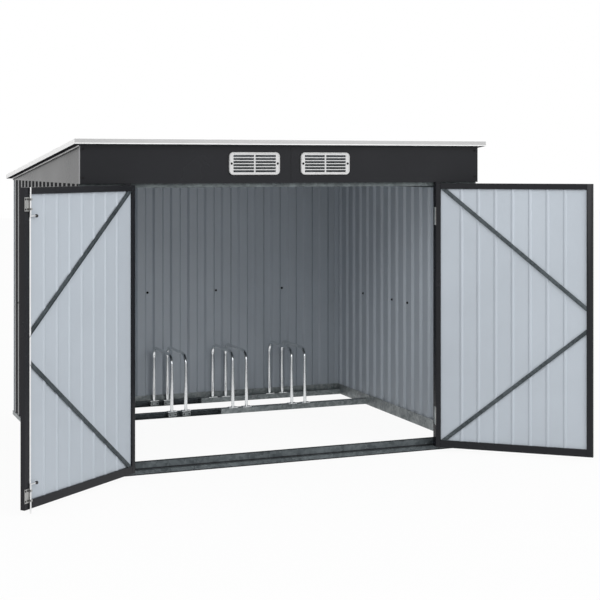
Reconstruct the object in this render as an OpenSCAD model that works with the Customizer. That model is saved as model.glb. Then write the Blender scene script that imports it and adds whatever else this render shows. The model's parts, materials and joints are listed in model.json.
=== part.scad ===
// Metal bike shed with a pent roof, two hinged doors and wheel hoops on floor beams.
// The origin is the middle of the front sill's underside: X right, Y to the back, Z up.

/* [Shed] */
// Width over the base frame
body_w = 2024; // [1900:1:2300]
// Depth from the fascia to the back of the base frame
body_d = 1760; // [1700:1:2200]
// Height at which the gables begin
eave_z = 1333; // [1200:1:1450]
// Rise of the roof's underside over the eaves at its front edge
roof_front_rise = 180; // [150:1:260]
// Rise of the roof's underside over the eaves at its back edge
roof_back_rise = 7; // [7:1:40]
// How far the fascia stands ahead of the sill's centre line
fascia_ahead = 30; // [28:1:34]

/* [Roof] */
// Roof overhang beyond the base frame at each side
roof_side_over = 28; // [20:1:60]
// Roof overhang ahead of the fascia
roof_front_over = 36; // [20:1:80]
// Roof overhang behind the back wall
roof_back_over = 50; // [20:1:80]
// Height of the trims along the roof edges
roof_band = 23; // [20:1:40]
// Distance between roof ribs
roof_rib_pitch = 184; // [150:1:250]
// Height of a roof rib
roof_rib_d = 12; // [8:1:14]
// Width of a roof rib at its foot
roof_rib_w = 30; // [24:1:40]
// Width of a roof rib at its crest
roof_rib_top = 16; // [10:1:20]
// Width of the top lips of the roof trims
trim_lip = 40; // [35:1:60]
// Height and depth of the drip lip on the front trim
drip_lip = 5; // [3:0.5:8]

/* [Base frame] */
// Height of a base rail
rail_h = 60; // [50:1:80]
// Height of the step that carries the walls
rail_step = 21; // [18:1:30]
// Width of a base rail on the ground
rail_w = 22; // [20:1:24]
// Height of a floor cross beam
beam_h = 30; // [24:1:40]
// Width of a floor cross beam
beam_w = 40; // [36:1:60]
// Distance of the front cross beam's face behind the sill's centre line
beam_y = 1291; // [900:1:1320]

/* [Sheet metal] */
// Thickness of wall sheets, rails and posts
sheet = 2; // [1:0.5:3]
// Depth of a wall rib
rib_d = 12; // [6:1:12]
// Width of a wall rib at its foot
rib_w = 62; // [40:1:70]
// Width of a wall rib at its crest
rib_top = 38; // [20:1:44]
// Distance between ribs on the side walls
side_pitch = 100; // [80:1:140]
// Distance between ribs on the back wall
back_pitch = 106; // [80:1:140]
// How far the rib crests stand inside the base frame
wall_inset = 3; // [2:0.5:3]
// How far the walls reach up behind the gables
wall_lap = 5; // [0:1:6]
// Width of a corner post's leg
post_leg = 25; // [20:1:40]
// Gap between a front corner post and the roof
post_gap = 1; // [0.5:0.5:3]
// Width of a top rail's or roof beam's leg
rail_leg = 40; // [30:1:60]

/* [Doorway] */
// Distance of each hinge axis from the side of the base frame
hinge_side = 241; // [200:1:320]
// How far the hinge axes stand ahead of the sill's centre line
axis_ahead = 42; // [41:0.5:44]
// Width of a door jamb's face
jamb_w = 30; // [24:1:40]
// Gap between a hinge axis and the jamb beside it
jamb_gap = 3; // [2.5:0.5:3]
// How far a jamb's face stands behind the hinge axis
jamb_back = 8; // [8:1:14]
// Gap between a jamb and the front panel beside it
panel_gap = 4; // [2:1:8]
// How far the header shows below the fascia
header_drop = 19; // [10:1:30]
// Height of the header rail
header_h = 46; // [40:1:60]

/* [Doors] */
// Angle at which the doors stand open
open_angle = 140; // [100:1:170]
// Thickness of a door
door_t = 22; // [20:1:24]
// Half of the gap between the closed doors
meeting_gap = 3; // [2.5:0.5:5]
// Gap between a door's edge and its hinge axis
hinge_gap = 4; // [4:0.5:6]
// How far the hinge axis lies behind a closed door's face
axis_in = 3; // [2:0.5:4]
// Height of the doors above the ground
door_z = 24; // [18:1:40]
// Gap between the doors and the fascia
door_top_gap = 5; // [5:1:10]
// Width of the door frame's upright bar at the free edge
frame_w = 31; // [22:1:40]
// Width of the door frame's upright bar at the hinges
hinge_bar_w = 23; // [18:1:36]
// Height of the door frame's top bar
frame_head = 28; // [22:1:40]
// Height of the door frame's bottom bar
frame_foot = 36; // [22:1:44]
// Thickness of a door skin
skin_t = 1.6; // [1:0.2:3]
// Number of ribs on a door skin
skin_ribs = 7; // [3:1:8]
// Distance between ribs on a door skin
skin_pitch = 84; // [70:1:88]
// Depth of a skin rib
skin_rib_d = 4; // [3:0.5:6]
// Width of a skin rib at its foot
skin_rib_w = 18; // [14:1:24]
// Width of a skin rib at its crest
skin_rib_top = 6; // [4:1:10]
// Width of a door brace
brace_w = 19; // [16:1:30]
// Thickness of a door brace
brace_t = 2; // [1.5:0.5:3]
// Depth of a door brace with its fold
brace_d = 5; // [4:0.5:8]
// Distance of each brace's end from the door's middle
brace_split = 55; // [40:1:90]
// How far each brace's line runs past the corner at the hinges
brace_past = 13; // [0:1:20]

/* [Hinges] */
// Height of a hinge
hinge_h = 88; // [60:1:120]
// Height of the lower hinge's middle above the door's foot
hinge_low = 152; // [100:1:250]
// Distance of the upper hinge's middle below the door's top
hinge_high = 163; // [100:1:250]
// Radius of a hinge knuckle
knuckle_r = 3.2; // [2.8:0.1:3.4]
// Radius of a hinge pin
pin_r = 1.8; // [1.4:0.1:2]
// Width of a hinge leaf on its jamb
leaf_w = 20; // [12:1:24]
// Running clearance inside the hinges and bolts
run = 0.4; // [0.3:0.1:0.6]

/* [Barrel bolts] */
// Radius of a bolt rod
rod_r = 3.5; // [3.5:0.1:3.8]
// Length of a bolt rod
rod_len = 120; // [100:1:160]
// Distance of a rod's axis from the door's face
rod_stand = 6.5; // [6:0.5:6.5]
// Distance of a rod's axis from the door's free edge
rod_edge = 29; // [24:1:40]
// Length of a bolt plate
bolt_plate_h = 57; // [50:1:70]
// Width of a bolt plate
bolt_plate_w = 30; // [24:1:40]
// Distance of a bolt plate from the door's end
bolt_plate_in = 40; // [30:1:60]
// Reach of a bolt's arm
arm_len = 38; // [25:1:50]
// Radius of a bolt's arm
arm_r = 2.5; // [2:0.5:3]
// Radius of a bolt's knob
knob_r = 6; // [5:0.5:7]
// How far the bottom rod hangs below the door
rod_below = 15; // [8:1:17]
// Clearance round the top rod in its keeper hole
keeper_gap = 2; // [1.5:0.5:2]

/* [Vents] */
// Width of a vent
vent_w = 252; // [180:1:300]
// Height of a vent
vent_h = 106; // [80:1:120]
// Distance of each vent from the middle of the fascia
vent_x = 180; // [160:1:400]
// Height of the vents' middle above the fascia's lower edge
vent_up = 92; // [70:1:110]
// Thickness of a vent
vent_t = 9; // [6:1:14]
// Number of slots in each column of a vent
vent_slots = 6; // [4:1:8]
// Height of a vent's rim above and below its slots
vent_rim = 10; // [8:1:16]
// Width of a vent's rim at its ends
vent_end = 20; // [14:1:26]
// Thickness of a vent's blades
vent_blade = 4; // [3:0.5:7]
// Slope of a vent's blades
vent_slope = 12; // [0:1:40]
// Width of the bar between a vent's columns
vent_bar = 7; // [4:1:16]

/* [Wheel hoops] */
// Distance between wheel places
place_pitch = 362; // [300:1:420]
// How far the row of wheel places stands to the right
place_shift = 27; // [0:1:60]
// Distance between the two hoops of a wheel place
hoop_gap = 82; // [70:1:120]
// Height of a hoop
hoop_h = 355; // [250:1:450]
// Radius of a hoop's tube
tube_r = 9; // [7:0.5:12]
// Bend radius of a hoop
bend_r = 60; // [40:1:100]
// Thickness of a hoop's foot plate
foot_t = 3; // [2:0.5:5]
// Length of a hoop's foot plate
foot_l = 52; // [40:1:80]
// Width of a hoop's foot plate
foot_w = 34; // [26:1:36]

/* [Hidden] */
$fn = 48;
eps = 0.01;
charcoal = [0.20, 0.20, 0.21];
galvanised = [0.55, 0.58, 0.60];
white = [0.93, 0.94, 0.95];
half_w = body_w / 2;
front_y = -fascia_ahead;
back_y = front_y + body_d;
sill_y = -rail_w / 2;
roof_front_z = eave_z + roof_front_rise;
roof_back_z = eave_z + roof_back_rise;
roof_y0 = front_y - roof_front_over;
roof_y1 = back_y + roof_back_over;
roof_angle = atan2(roof_front_z - roof_back_z, roof_y1 - roof_y0);
roof_len = (roof_y1 - roof_y0) / cos(roof_angle);
wall_t = rib_d + sheet;
// Inner faces of the walls
side_in = half_w - wall_inset - wall_t;
back_in = back_y - wall_inset - wall_t;
front_in = sill_y + sheet / 2 + wall_t;
wall_top = eave_z + wall_lap;
// Doorway
hinge_x = half_w - hinge_side;
jamb_x = hinge_x + jamb_gap;
axis_y = -axis_ahead;
header_z = eave_z - header_drop;
header_y = front_in - wall_t;
jamb_y = axis_y + jamb_back;
jamb_d = header_y - jamb_y;
// Doors, measured from the hinge axis: u along the door, v into the shed
door_u0 = hinge_gap;
door_u1 = hinge_x - meeting_gap;
door_top = eave_z - door_top_gap;
door_out = -axis_in;
door_in = door_t - axis_in;
in_u0 = door_u0 + hinge_bar_w;
in_u1 = door_u1 - frame_w;
in_z0 = door_z + frame_foot;
in_z1 = door_top - frame_head;
door_mid = (door_z + door_top) / 2;
brace_v = door_in - brace_d;
skin_v = brace_v - skin_rib_d;
rod_u = door_u1 - rod_edge;
rod_v = door_in + rod_stand;
hinge_zs = [door_z + hinge_low, door_top - hinge_high];
// Wheel hoops
rear_beam_y = back_y - rail_w - beam_w;
hoop_y0 = beam_y + beam_w / 2;
hoop_y1 = rear_beam_y + beam_w / 2;
hoop_axis_z = hoop_h - tube_r;

// The height of the roof's underside at a distance y
function roof_z(y) = roof_front_z - (y - roof_y0) * tan(roof_angle);

// The centres of as many ribs as fit on a length, evenly about its middle
function rib_centres(length, pitch, width) =
    let (count = floor((length - width) / pitch) + 1)
    [for (i = [0 : count - 1]) length / 2 + (i - (count - 1) / 2) * pitch];

// The corners of one rib with its centre at c
function rib_points(c, w, top, d) = [[c - w / 2, 0], [c - top / 2, d], [c + top / 2, d], [c + w / 2, 0]];

// A sheet with upright ribs: x along its length, y outwards, z up
module ribbed_sheet(length, height, centres, w, top, d, t) {
    path = concat([[0, 0]], [for (c = centres) each rib_points(c, w, top, d)], [[length, 0]]);
    outer = [for (p = path) [p[0], p[1] + t]];
    inner = [for (i = [len(path) - 1 : -1 : 0]) path[i]];
    linear_extrude(height) polygon(concat(outer, inner));
}

// A wall sheet with the wall's own ribs
module wall_sheet(length, height, pitch) {
    ribbed_sheet(length, height, rib_centres(length, pitch, rib_w), rib_w, rib_top, rib_d, sheet);
}

// Puts a profile's x along Y and its y along Z, and draws it out along X from -length / 2
module along_x(length) {
    translate([-length / 2, 0, 0]) rotate([90, 0, 90]) linear_extrude(length) children();
}

// Keeps a profile's x along X, puts its y along Z, and draws it out along Y from y0 to y1
module along_y(y0, y1) {
    translate([0, y1, 0]) rotate([90, 0, 0]) linear_extrude(y1 - y0) children();
}

// The section of a base rail: a box with its outer face at 0, and the web that stands on its inner edge
module rail_profile() {
    difference() {
        square([rail_w, rail_step]);
        translate([sheet, sheet]) square([rail_w - 2 * sheet, rail_step - 2 * sheet]);
    }
    translate([rail_w - sheet, 0]) square([sheet, rail_h]);
}

// A right angle of sheet with legs a and b
module angle_profile(a, b) {
    polygon([[0, 0], [a, 0], [a, sheet], [sheet, sheet], [sheet, b], [0, b]]);
}

// A base rail about its middle, its outer face at y = 0, with mitred ends
module base_rail(length) {
    half = length / 2;
    color(galvanised) intersection() {
        along_x(length) rail_profile();
        linear_extrude(rail_h)
            polygon([[-half, 0], [half, 0], [half - rail_w, rail_w], [rail_w - half, rail_w]]);
    }
}

module front_sill() {
    translate([0, sill_y, 0]) base_rail(body_w);
}

module back_base_rail() {
    translate([0, back_y, 0]) rotate([0, 0, 180]) base_rail(body_w);
}

module left_base_rail() {
    translate([-half_w, (sill_y + back_y) / 2, 0]) rotate([0, 0, -90]) base_rail(back_y - sill_y);
}

module right_base_rail() {
    mirror([1, 0, 0]) left_base_rail();
}

// The channels that carry the hoops: one across the floor, one along the back rail
module floor_cross_beams() {
    inner = beam_w - sheet;
    color(galvanised) for (y = [beam_y, rear_beam_y]) translate([0, y, 0])
        along_x(body_w - 2 * rail_w) difference() {
            square([beam_w, beam_h]);
            translate([sheet, sheet]) square([inner, beam_h - 2 * sheet]);
        }
}

// One quarter bend of a hoop, from start degrees on, in the YZ plane
module hoop_bend(y, start) {
    translate([0, y, hoop_axis_z - bend_r]) rotate([90, 0, 90]) rotate([0, 0, start])
        rotate_extrude(angle = 90) translate([bend_r, 0]) circle(tube_r);
}

// One leg of a hoop with its foot plate on a beam
module hoop_leg(y) {
    translate([0, y, beam_h]) cylinder(r = tube_r, h = hoop_axis_z - bend_r - beam_h);
    translate([-foot_l / 2, y - foot_w / 2, beam_h]) cube([foot_l, foot_w, foot_t]);
}

module hoop() {
    hoop_leg(hoop_y0);
    hoop_leg(hoop_y1);
    hoop_bend(hoop_y0 + bend_r, 90);
    hoop_bend(hoop_y1 - bend_r, 0);
    translate([0, hoop_y0 + bend_r, hoop_axis_z]) rotate([-90, 0, 0])
        cylinder(r = tube_r, h = hoop_y1 - hoop_y0 - 2 * bend_r);
}

// The two hoops of one wheel place, counted from the left
module wheel_hoops(i) {
    color(galvanised) for (side = [-1, 1])
        translate([place_shift + (i - 2.5) * place_pitch + side * hoop_gap / 2, 0, 0]) hoop();
}

module left_wall() {
    color(charcoal) translate([-side_in, front_in, rail_step]) rotate([0, 0, 90])
        wall_sheet(back_in - front_in, wall_top - rail_step, side_pitch);
}

module right_wall() {
    mirror([1, 0, 0]) left_wall();
}

module back_wall() {
    length = 2 * (side_in + wall_t);
    color(charcoal) translate([-length / 2, back_in, rail_step])
        wall_sheet(length, wall_top - rail_step, back_pitch);
}

module front_right_panel() {
    start = jamb_x + sheet + panel_gap;
    color(charcoal) translate([half_w, front_in, rail_step]) rotate([0, 0, 180])
        wall_sheet(half_w - start, header_z - rail_step, side_pitch);
}

module front_left_panel() {
    mirror([1, 0, 0]) front_right_panel();
}

module front_fascia() {
    top = roof_z(front_y + sheet);
    flange = side_in + wall_t;
    color(charcoal) difference() {
        union() {
            translate([-half_w, front_y, eave_z]) cube([body_w, sheet, top - eave_z]);
            translate([-flange, front_y, eave_z]) cube([2 * flange, header_y - front_y, sheet]);
        }
        for (side = [-1, 1]) translate([side * vent_x, front_y - eps, eave_z + vent_up])
            translate([-vent_w / 2 + vent_end, 0, -vent_h / 2 + vent_rim])
                cube([vent_w - 2 * vent_end, sheet + 2 * eps, vent_h - 2 * vent_rim]);
        translate([rod_u - hinge_x, axis_y + rod_v, eave_z - eps])
            cylinder(r = rod_r + keeper_gap, h = sheet + 2 * eps);
    }
}

module left_gable() {
    y0 = front_y + sheet;
    y1 = back_in + wall_t;
    color(charcoal) translate([-side_in - wall_t - sheet, 0, 0]) rotate([90, 0, 90]) linear_extrude(sheet)
        polygon([[y0, eave_z], [y1, eave_z], [y1, roof_z(y1)], [y0, roof_z(y0)]]);
}

module right_gable() {
    mirror([1, 0, 0]) left_gable();
}

// A rectangle with round corners, about its middle
module round_rect(w, h, r) {
    square([w - 2 * r, h], center = true);
    square([w, h - 2 * r], center = true);
    for (x = [-1, 1], y = [-1, 1]) translate([x * (w / 2 - r), y * (h / 2 - r)]) circle(r);
}

// A louvred vent: a rim, a bar in the middle and sloping blades with open slots between them
module vent() {
    window_w = vent_w - 2 * vent_end;
    window_h = vent_h - 2 * vent_rim;
    pitch = window_h / vent_slots;
    rotate([90, 0, 0]) linear_extrude(vent_t) {
        difference() {
            round_rect(vent_w, vent_h, vent_end);
            square([window_w, window_h], center = true);
        }
        square([vent_bar, window_h], center = true);
    }
    intersection() {
        translate([-window_w / 2, -vent_t, -window_h / 2]) cube([window_w, vent_t, window_h]);
        for (i = [0 : vent_slots]) translate([0, -vent_t / 2, -window_h / 2 + i * pitch])
            rotate([vent_slope, 0, 0]) cube([window_w, 2 * vent_t, vent_blade], center = true);
    }
}

module fascia_vents() {
    color(white) for (side = [-1, 1]) translate([side * vent_x, front_y, eave_z + vent_up]) vent();
}

// A pair of posts in the left and right corners at y, drawn up to a height
module post_pair(y, top, turn) {
    for (side = [0, 1]) mirror([side, 0, 0]) translate([side_in, y, rail_step]) rotate([0, 0, turn])
        linear_extrude(top - rail_step) angle_profile(post_leg, post_leg);
}

module corner_posts() {
    color(galvanised) {
        post_pair(front_in, roof_z(front_in + post_leg) - post_gap, 90);
        post_pair(back_in, wall_top, 180);
    }
}

module door_jambs() {
    back_leg = jamb_w * 0.6;
    color(charcoal) for (side = [0, 1]) mirror([side, 0, 0]) translate([jamb_x, jamb_y, rail_step])
        linear_extrude(eave_z - rail_step) polygon([
            [0, 0], [jamb_w, 0], [jamb_w, sheet], [sheet, sheet], [sheet, jamb_d - sheet],
            [back_leg, jamb_d - sheet], [back_leg, jamb_d], [0, jamb_d]
        ]);
}

module header_rail() {
    flange = 2 * (side_in - post_leg);
    color(galvanised) {
        translate([-half_w, header_y, header_z]) cube([body_w, sheet, eave_z - header_z]);
        translate([-flange / 2, header_y, header_z]) cube([flange, sheet, header_h]);
        translate([-flange / 2, header_y, header_z + header_h - sheet]) cube([flange, rail_leg, sheet]);
    }
}

// The angle of a top rail, hanging from its corner
module top_rail_profile() {
    mirror([0, 1]) mirror([1, 0]) angle_profile(rail_leg * 0.75, rail_leg);
}

module wall_top_rails() {
    color(galvanised) {
        for (side = [0, 1]) mirror([side, 0, 0]) translate([side_in, 0, wall_top])
            along_y(front_in + post_leg, back_in - post_leg) top_rail_profile();
        translate([0, back_in, wall_top]) along_x(2 * (side_in - post_leg)) top_rail_profile();
    }
}

// Puts children on the roof's slope: y down the slope from the front edge, z square to the roof
module on_roof() {
    translate([0, roof_y0, roof_front_z]) rotate([-roof_angle, 0, 0]) children();
}

// The corners of one roof rib
function roof_rib(c) = rib_points(c, roof_rib_w, roof_rib_top, roof_rib_d);

module roof_sheet() {
    length = roof_len - 2 * sheet;
    centres = rib_centres(body_w, roof_rib_pitch, 2 * roof_rib_w);
    color(white) on_roof() translate([-half_w, sheet + length, 0]) rotate([90, 0, 0])
        linear_extrude(length) polygon(concat(
            [[0, 0]], [[0, sheet]],
            [for (c = centres) each [for (p = roof_rib(c)) [p[0], p[1] + sheet]]],
            [[body_w, sheet], [body_w, 0]],
            [for (i = [len(centres) - 1 : -1 : 0]) each [for (k = [3 : -1 : 0]) roof_rib(centres[i])[k]]]
        ));
}

module roof_beam() {
    leg = rail_leg * 0.75;
    length = 2 * (side_in + wall_t);
    color(galvanised) on_roof() translate([0, roof_len / 2, -rail_leg]) along_x(length) polygon([
        [0, 0], [leg, 0], [leg, sheet], [sheet, sheet], [sheet, rail_leg - sheet],
        [leg, rail_leg - sheet], [leg, rail_leg], [0, rail_leg]
    ]);
}

// The channel section of a side trim: outer face at 0, lips inwards
module side_trim_profile() {
    polygon([
        [0, 0], [roof_side_over, 0], [roof_side_over, sheet], [sheet, sheet], [sheet, roof_band - sheet],
        [trim_lip, roof_band - sheet], [trim_lip, roof_band], [0, roof_band]
    ]);
}

module side_roof_trims() {
    color(white) on_roof() for (side = [0, 1]) mirror([side, 0, 0])
        translate([-half_w - roof_side_over, 0, 0]) along_y(sheet, roof_len - sheet) side_trim_profile();
}

// The face and top lip of a front or back trim, from side to side of the roof
module cross_trim() {
    width = body_w + 2 * roof_side_over;
    along_x(width) square([sheet, roof_band]);
    translate([0, 0, roof_band - sheet]) along_x(width - 2 * trim_lip) square([trim_lip, sheet]);
}

module front_roof_trim() {
    color(white) on_roof() {
        cross_trim();
        along_x(body_w + 2 * roof_side_over) polygon([
            [0, 0], [0, drip_lip], [-drip_lip / 2, drip_lip * 0.8], [-drip_lip / 2, 0]
        ]);
    }
}

module back_roof_trim() {
    color(white) on_roof() translate([0, roof_len, 0]) mirror([0, 1, 0]) cross_trim();
}

// Puts children, drawn from the hinge axis, on a door: side -1 is the left one
module on_door(side) {
    mirror([side > 0 ? 1 : 0, 0, 0]) translate([-hinge_x, axis_y, 0]) rotate([0, 0, -open_angle]) children();
}

// An upright bar of a door's frame
module door_stile(side, u, width) {
    color(charcoal) on_door(side) translate([u, door_out, door_z]) cube([width, door_t, door_top - door_z]);
}

// A level bar of a door's frame
module door_rail(side, z, height) {
    color(charcoal) on_door(side) translate([in_u0, door_out, z]) cube([in_u1 - in_u0, door_t, height]);
}

module door_skin(side) {
    length = in_u1 - in_u0;
    centres = [for (i = [0 : skin_ribs - 1]) length / 2 + (i - (skin_ribs - 1) / 2) * skin_pitch];
    color(charcoal) on_door(side) translate([in_u0, skin_v - skin_t, in_z0])
        ribbed_sheet(length, in_z1 - in_z0, centres, skin_rib_w, skin_rib_top, skin_rib_d, skin_t);
}

// A folded bar from (u0, z0) to (u1, z1), cut off along the door's frame
module door_brace(u0, z0, u1, z1) {
    long = norm([u1 - u0, z1 - z0]) + 4 * brace_w;
    turn = atan2(z1 - z0, u1 - u0);
    intersection() {
        translate([in_u0, brace_v, in_z0]) cube([in_u1 - in_u0, brace_d, in_z1 - in_z0]);
        translate([u0, brace_v, z0]) rotate([0, -turn, 0]) translate([-2 * brace_w, 0, -brace_w / 2]) {
            cube([long, brace_t, brace_w]);
            cube([long, brace_d, brace_t]);
        }
    }
}

module door_braces(side) {
    color(galvanised) on_door(side) {
        door_brace(in_u0, in_z1 + brace_past, in_u1, door_mid + brace_split);
        door_brace(in_u0, in_z0 - brace_past, in_u1, door_mid - brace_split);
    }
}

// The part of a hinge that turns with the door: the middle knuckle and its leaf
module door_hinge_leaves(side) {
    third = hinge_h / 3;
    leaf_v = knuckle_r + 2 * run;
    color(galvanised) on_door(side) for (z = hinge_zs) difference() {
        union() {
            translate([0, 0, z - third / 2 + run]) cylinder(r = knuckle_r, h = third - 2 * run);
            translate([door_u0 - sheet, 0, z - third / 2 + run])
                cube([sheet, leaf_v + run, third - 2 * run]);
            translate([door_u0 - sheet, leaf_v, z - hinge_h / 2])
                cube([sheet, door_in - leaf_v - sheet, hinge_h]);
        }
        translate([0, 0, z - third]) cylinder(r = pin_r + run, h = 2 * third);
    }
}

// The fixed parts of the hinges: end knuckles, pin and the leaf on the jamb
module jamb_hinge_leaves() {
    third = hinge_h / 3;
    leaf_y = knuckle_r + 2 * run;
    color(galvanised) for (side = [0, 1], z = hinge_zs) mirror([side, 0, 0])
        translate([hinge_x, axis_y, z - hinge_h / 2]) {
            cylinder(r = knuckle_r, h = third);
            cylinder(r = pin_r, h = hinge_h);
            translate([0, 0, 2 * third]) cylinder(r = knuckle_r, h = third);
            for (lift = [0, 2 * third]) translate([jamb_gap - sheet, 0, lift])
                cube([sheet, leaf_y + run, third]);
            translate([jamb_gap - sheet, leaf_y, 0]) cube([sheet, leaf_w, hinge_h]);
        }
}

// A bolt's plate and its two guides, with the rod's axis at u = 0 and the plate's middle at z = 0
module bolt_plate() {
    guide = 2.5 * rod_r;
    wall = rod_r + sheet;
    difference() {
        union() {
            translate([rod_edge - bolt_plate_w, door_in, -bolt_plate_h / 2])
                cube([bolt_plate_w, sheet, bolt_plate_h]);
            for (z = [-1, 1]) translate([-wall, door_in, z * (bolt_plate_h / 2 - guide) - guide / 2])
                cube([2 * wall, rod_stand + wall, guide]);
        }
        translate([0, rod_v, -bolt_plate_h]) cylinder(r = rod_r + run, h = 2 * bolt_plate_h);
    }
}

module bolt_plates() {
    upper = door_top - bolt_plate_in - bolt_plate_h / 2;
    lower = door_z + bolt_plate_in * 0.7 + bolt_plate_h / 2;
    color(galvanised) on_door(-1) for (z = [upper, lower]) translate([rod_u, 0, z]) bolt_plate();
}

// A bolt's rod from z = 0 up, with its arm and knob at the height arm_z
module bolt_rod(arm_z) {
    translate([0, rod_v, 0]) {
        cylinder(r = rod_r, h = rod_len);
        translate([0, 0, arm_z]) rotate([0, -90, 0]) cylinder(r = arm_r, h = arm_len);
        translate([-arm_len, 0, arm_z]) rotate([0, 0, 90]) sphere(knob_r);
    }
}

module top_bolt_rod() {
    color(galvanised) on_door(-1) translate([rod_u, 0, door_top - rod_len]) bolt_rod(rod_r);
}

module bottom_bolt_rod() {
    color(galvanised) on_door(-1) translate([rod_u, 0, door_z - rod_below]) bolt_rod(rod_len - rod_r);
}

front_sill();
back_base_rail();
left_base_rail();
right_base_rail();
floor_cross_beams();
wheel_hoops(1);  // wheel_hoops_1
wheel_hoops(2);  // wheel_hoops_2
wheel_hoops(3);  // wheel_hoops_3
wheel_hoops(4);  // wheel_hoops_4
left_wall();
right_wall();
back_wall();
front_left_panel();
front_right_panel();
front_fascia();
left_gable();
right_gable();
fascia_vents();
corner_posts();
door_jambs();
header_rail();
wall_top_rails();
roof_sheet();
roof_beam();
front_roof_trim();
back_roof_trim();
side_roof_trims();
jamb_hinge_leaves();
door_stile(-1, door_u0, hinge_bar_w);  // left_door_hinge_stile
door_stile(-1, in_u1, frame_w);  // left_door_free_stile
door_rail(-1, in_z1, frame_head);  // left_door_top_rail
door_rail(-1, door_z, frame_foot);  // left_door_bottom_rail
door_skin(-1);  // left_door_skin
door_braces(-1);  // left_door_braces
door_hinge_leaves(-1);  // left_door_hinge_leaves
door_stile(1, door_u0, hinge_bar_w);  // right_door_hinge_stile
door_stile(1, in_u1, frame_w);  // right_door_free_stile
door_rail(1, in_z1, frame_head);  // right_door_top_rail
door_rail(1, door_z, frame_foot);  // right_door_bottom_rail
door_skin(1);  // right_door_skin
door_braces(1);  // right_door_braces
door_hinge_leaves(1);  // right_door_hinge_leaves
bolt_plates();
top_bolt_rod();
bottom_bolt_rod();
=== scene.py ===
"""Dresses a metal bike shed with its finishes, fixings and hardware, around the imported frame."""

import json
import logging
import math
from dataclasses import dataclass, field
from enum import Enum
from typing import Any, Protocol

import bmesh
import bpy
from mathutils import Matrix, Vector

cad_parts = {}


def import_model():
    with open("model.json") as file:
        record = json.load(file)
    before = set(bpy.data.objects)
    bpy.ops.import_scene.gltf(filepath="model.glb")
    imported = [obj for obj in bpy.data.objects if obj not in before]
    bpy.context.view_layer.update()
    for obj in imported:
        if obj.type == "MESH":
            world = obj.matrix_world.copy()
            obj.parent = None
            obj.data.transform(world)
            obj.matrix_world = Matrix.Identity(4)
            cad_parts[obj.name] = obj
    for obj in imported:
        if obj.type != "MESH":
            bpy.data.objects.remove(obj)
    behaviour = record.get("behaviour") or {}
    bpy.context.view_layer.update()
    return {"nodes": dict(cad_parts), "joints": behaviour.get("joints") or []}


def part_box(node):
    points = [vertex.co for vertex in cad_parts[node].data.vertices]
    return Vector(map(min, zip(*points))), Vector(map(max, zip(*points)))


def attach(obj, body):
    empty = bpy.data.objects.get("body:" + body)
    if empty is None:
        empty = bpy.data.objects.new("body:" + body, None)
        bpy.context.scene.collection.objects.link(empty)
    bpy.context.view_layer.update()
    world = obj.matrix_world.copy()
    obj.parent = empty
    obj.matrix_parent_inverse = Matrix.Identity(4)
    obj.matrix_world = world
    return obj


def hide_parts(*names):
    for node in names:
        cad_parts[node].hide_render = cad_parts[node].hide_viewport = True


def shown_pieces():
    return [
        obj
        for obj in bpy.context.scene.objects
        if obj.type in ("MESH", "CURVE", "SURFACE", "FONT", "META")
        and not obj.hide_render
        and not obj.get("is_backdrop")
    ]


LOG = logging.getLogger("bike_shed")
IMAGE_PX = 600
MM = 0.001
WELD_GAP = 0.00001
EDGE_SEGMENTS = 2
EDGE_ANGLE_DEG = 40.0
QUARTER_TURN = math.radians(90.0)
WHITE = (1.0, 1.0, 1.0, 1.0)
Colour = tuple[float, float, float]
Point = tuple[float, float, float]
Socket = bpy.types.NodeSocket
LEFTWARD: Point = (-1.0, 0.0, 0.0)
RIGHTWARD: Point = (1.0, 0.0, 0.0)
FRONTWARD: Point = (0.0, -1.0, 0.0)
BACKWARD: Point = (0.0, 1.0, 0.0)
UPWARD: Point = (0.0, 0.0, 1.0)


class Side(Enum):
    """The side of the shed that a piece is on, with its sign along X."""

    LEFT = -1
    RIGHT = 1


class NodeTree:
    """A node tree, with short calls to add and join its nodes."""

    def __init__(self, tree: bpy.types.NodeTree) -> None:
        """Takes a tree and empties it."""
        self.tree = tree
        tree.nodes.clear()

    def add(self, kind: str, **values: Any) -> bpy.types.Node:
        """Adds a node and sets its properties, or its inputs where no property has the name.

        Args:
            kind: Blender's name of the node's type.
            values: Properties by name, or inputs by name with spaces as underscores.

        Returns:
            The new node.
        """
        node = self.tree.nodes.new(kind)
        for key, value in values.items():
            if hasattr(node, key):
                setattr(node, key, value)
            else:
                node.inputs[key.replace("_", " ")].default_value = value
        return node

    def join(self, source: Socket, target: Socket) -> None:
        """Links one socket to another."""
        self.tree.links.new(source, target)

    def mix(self, share: Socket, first: Socket, second: Socket) -> Socket:
        """Adds a mix of two surfaces.

        Args:
            share: The second surface's share.
            first: The surface where the share is 0.
            second: The surface where the share is 1.

        Returns:
            The mixed surface's socket.
        """
        node = self.add("ShaderNodeMixShader")
        for place, source in enumerate((share, first, second)):
            self.join(source, node.inputs[place])
        return node.outputs["Shader"]

    def seen(self) -> Socket:
        """Adds a value that is 1 for camera, glossy and transmission rays, and returns its socket."""
        path = self.add("ShaderNodeLightPath")
        value = path.outputs["Is Camera Ray"]
        for ray in ("Is Glossy Ray", "Is Transmission Ray"):
            either = self.add("ShaderNodeMath", operation="MAXIMUM")
            self.join(value, either.inputs[0])
            self.join(path.outputs[ray], either.inputs[1])
            value = either.outputs[0]
        return value


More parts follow.
